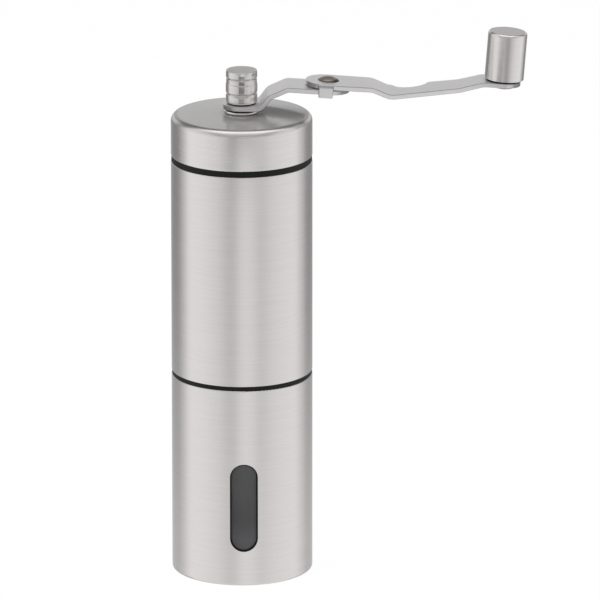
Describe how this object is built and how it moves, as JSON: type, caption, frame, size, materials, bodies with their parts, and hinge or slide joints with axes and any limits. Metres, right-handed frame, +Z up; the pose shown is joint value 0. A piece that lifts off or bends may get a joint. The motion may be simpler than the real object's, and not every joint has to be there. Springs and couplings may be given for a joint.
{
  "type": "hand crank coffee grinder",
  "caption": "Slim cylindrical steel hand grinder with a folding crank and knob on its lid, conical burrs inside and a windowed receiver cup that screws off below.",
  "frame": {"origin": "centre of the flat base, on the mill's axis", "axes": "+Z up along the mill's axis, +X along the unfolded crank, -Y out of the window"},
  "size_m": [0.1181, 0.047, 0.1847],
  "materials": {
    "brushed_steel": "fine brushing round the tube",
    "polished_steel": "polished",
    "arm_steel": "satin",
    "plain_steel": "machined",
    "black_plastic": "matte",
    "smoked_plastic": "smoked and clear",
    "ceramic": "unglazed ceramic",
    "silicone": "soft",
    "brass": "machined"
  },
  "bodies": {
    "receiver": {"receiver_sleeve": "brushed_steel", "receiver_liner": "smoked_plastic"},
    "mill_body": {"upper_tube": "brushed_steel", "burr_housing": "black_plastic", "outer_burr": "ceramic", "burr_seal": "silicone", "burr_retaining_ring": "black_plastic", "bearing_spider": "black_plastic", "shaft_bush": "brass"},
    "grinding_shaft": {"burr_shaft": "plain_steel", "shaft_clip": "plain_steel", "thrust_washer": "plain_steel", "burr_spring": "plain_steel"},
    "grinding_cone": {"inner_burr": "ceramic", "click_plate": "plain_steel"},
    "grind_adjuster": {"adjuster_knob": "black_plastic"},
    "lid": {"lid_shell": "brushed_steel", "lid_liner": "black_plastic", "lid_bush": "polished_steel"},
    "crank": {"crank_spindle": "plain_steel", "crank_washer": "black_plastic", "nut_washer": "black_plastic", "cap_nut": "polished_steel", "inner_arm": "arm_steel"},
    "folding_arm": {"outer_arm": "arm_steel", "pivot_rivet": "polished_steel", "pivot_washer": "black_plastic", "knob_axle": "plain_steel", "knob_washer": "black_plastic"},
    "crank_knob": {"knob_core": "black_plastic", "knob_shell": "polished_steel"}
  },
  "joints": [
    {"name": "body_lift", "type": "slide", "parent": "receiver", "child": "mill_body", "axis": [0, 0, 1], "range_m": [0, 0.04]},
    {"name": "lid_lift", "type": "slide", "parent": "mill_body", "child": "lid", "axis": [0, 0, 1], "range_m": [0, 0.04]},
    {"name": "crank_spin", "type": "hinge", "parent": "lid", "child": "crank", "pos_m": [0, 0, 0.16], "axis": [0, 0, 1], "continuous": true},
    {"name": "crank_fold", "type": "hinge", "parent": "crank", "child": "folding_arm", "pos_m": [0.02866, 0, 0.16624], "axis": [0.0715, 0, 0.9974], "range_deg": [0, 164.1]},
    {"name": "knob_spin", "type": "hinge", "parent": "folding_arm", "child": "crank_knob", "pos_m": [0.08691, 0, 0.16769], "axis": [0.0767, 0, 0.9971], "continuous": true},
    {"name": "burr_spin", "type": "hinge", "parent": "mill_body", "child": "grinding_shaft", "pos_m": [0, 0, 0.1], "axis": [0, 0, 1], "continuous": true},
    {"name": "burr_travel", "type": "slide", "parent": "grinding_shaft", "child": "grinding_cone", "axis": [0, 0, 1], "range_m": [-0.0016, 0.0002], "deforming": ["burr_spring"]},
    {"name": "adjuster_turn", "type": "hinge", "parent": "grinding_cone", "child": "grind_adjuster", "pos_m": [0, 0, 0.056], "axis": [0, 0, 1], "range_deg": [-648, 108]}
  ],
  "couplings": [
    {"joint": "burr_spin", "follows": "crank_spin", "ratio": 1},
    {"joint": "adjuster_turn", "follows": "burr_travel", "rad_per_m": 6283.2}
  ]
}
